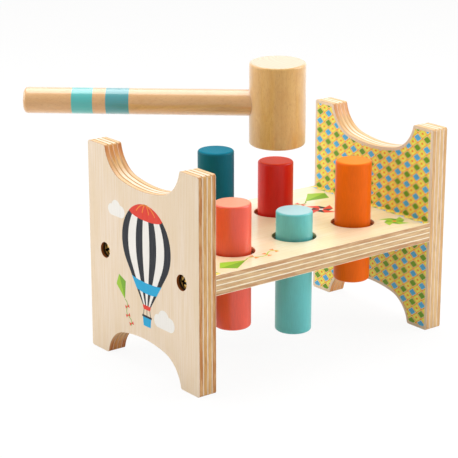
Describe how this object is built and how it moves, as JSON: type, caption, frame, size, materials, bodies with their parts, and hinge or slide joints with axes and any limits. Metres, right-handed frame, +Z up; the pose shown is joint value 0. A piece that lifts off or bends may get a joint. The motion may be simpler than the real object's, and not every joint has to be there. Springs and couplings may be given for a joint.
{
  "type": "toy workbench",
  "caption": "Plywood pounding bench for toddlers, with notched end panels, painted pegs that slide through a plank, and a wooden mallet held above it.",
  "frame": {"origin": "on the floor, midway between the two end panels and between the front and back edges of the bench", "axes": "+X along the bench from the pictured left panel to the right panel, +Y from the front edge to the back edge, +Z up"},
  "size_m": [0.1918, 0.1844, 0.1654],
  "materials": {
    "plywood": "birch plywood, sanded, clear matt lacquer, printed in places",
    "coral_paint": "satin water-based paint on beech",
    "light_teal_paint": "satin water-based paint on beech",
    "orange_paint": "satin water-based paint on beech",
    "dark_teal_paint": "satin water-based paint on beech",
    "red_paint": "satin water-based paint on beech",
    "rubber": "matt black rubber",
    "yellow_zinc": "yellow zinc plating",
    "dowel_beech": "plain beech",
    "mallet_beech": "turned beech, clear satin lacquer, painted bands on the handle"
  },
  "bodies": {
    "bench": {"left_panel": "plywood", "right_panel": "plywood", "bench_plank": "plywood", "grip_ring_front_left": "rubber", "grip_ring_front_middle": "rubber", "grip_ring_front_right": "rubber", "grip_ring_back_left": "rubber", "grip_ring_back_right": "rubber", "screw_left_front": "yellow_zinc", "screw_left_back": "yellow_zinc", "screw_right_front": "yellow_zinc", "screw_right_back": "yellow_zinc", "dowel_left_front": "dowel_beech", "dowel_left_back": "dowel_beech", "dowel_right_front": "dowel_beech", "dowel_right_back": "dowel_beech"},
    "coral_peg": {"peg_coral": "coral_paint"},
    "light_teal_peg": {"peg_light_teal": "light_teal_paint"},
    "orange_peg": {"peg_orange": "orange_paint"},
    "dark_teal_peg": {"peg_dark_teal": "dark_teal_paint"},
    "red_peg": {"peg_red": "red_paint"},
    "mallet": {"mallet_head": "mallet_beech", "mallet_handle": "mallet_beech"}
  },
  "joints": [
    {"name": "coral_peg_slide", "type": "slide", "parent": "bench", "child": "coral_peg", "axis": [0, 0, 1], "range_m": [-0.0236, 0.036]},
    {"name": "light_teal_peg_slide", "type": "slide", "parent": "bench", "child": "light_teal_peg", "axis": [0, 0, 1], "range_m": [-0.0106, 0.049]},
    {"name": "orange_peg_slide", "type": "slide", "parent": "bench", "child": "orange_peg", "axis": [0, 0, 1], "range_m": [-0.0336, 0.026]},
    {"name": "dark_teal_peg_slide", "type": "slide", "parent": "bench", "child": "dark_teal_peg", "axis": [0, 0, 1], "range_m": [-0.0416, 0.018]},
    {"name": "red_peg_slide", "type": "slide", "parent": "bench", "child": "red_peg", "axis": [0, 0, 1], "range_m": [-0.0276, 0.0085]},
    {"name": "mallet_lift", "type": "slide", "parent": "bench", "child": "mallet", "axis": [0, 0, 1], "range_m": [-0.0085, 0.06]}
  ]
}
